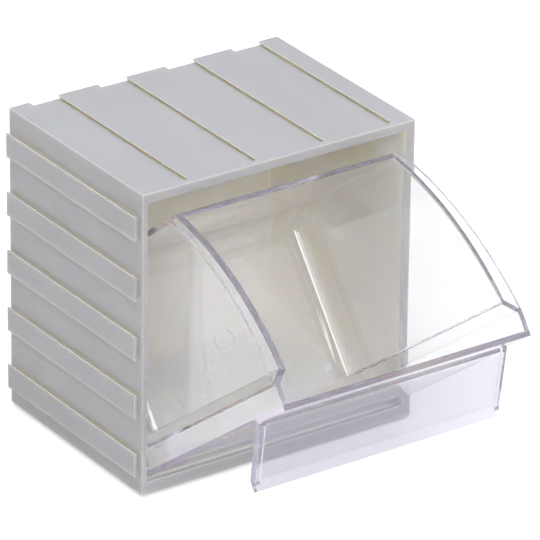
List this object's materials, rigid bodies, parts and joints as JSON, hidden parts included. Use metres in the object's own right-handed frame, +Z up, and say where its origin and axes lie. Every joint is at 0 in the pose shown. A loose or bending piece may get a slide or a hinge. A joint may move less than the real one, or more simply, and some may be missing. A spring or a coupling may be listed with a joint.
{
  "type": "tilt bin storage box",
  "caption": "Stackable storage box: an open-fronted housing with dovetail joints on four sides, and a clear bin with a sloped label plate that tilts out of it on stub pins.",
  "frame": {"origin": "in the plane that the box stands on, the underside of its bottom tongues, at the middle of the housing's width without the left tongues and at the middle of its depth", "axes": "+Z up, -Y out of the open front towards the user, +X to the user's right; the left side (-X) has the tongues and the right side (+X) the grooves"},
  "size_m": [0.1215, 0.1732, 0.1235],
  "materials": {
    "housing_plastic": "satin moulded polystyrene, opaque light grey",
    "clear_plastic": "clear glossy moulded polystyrene with a faint violet cast in its edges"
  },
  "bodies": {
    "housing": {"housing": "housing_plastic"},
    "bin": {"tilt_bin": "clear_plastic"}
  },
  "joints": [
    {"name": "bin_tilt", "type": "hinge", "parent": "housing", "child": "bin", "pos_m": [-0.00082, -0.039, 0.01195], "axis": [1, 0, 0], "range_deg": [-53.1, 0]}
  ]
}
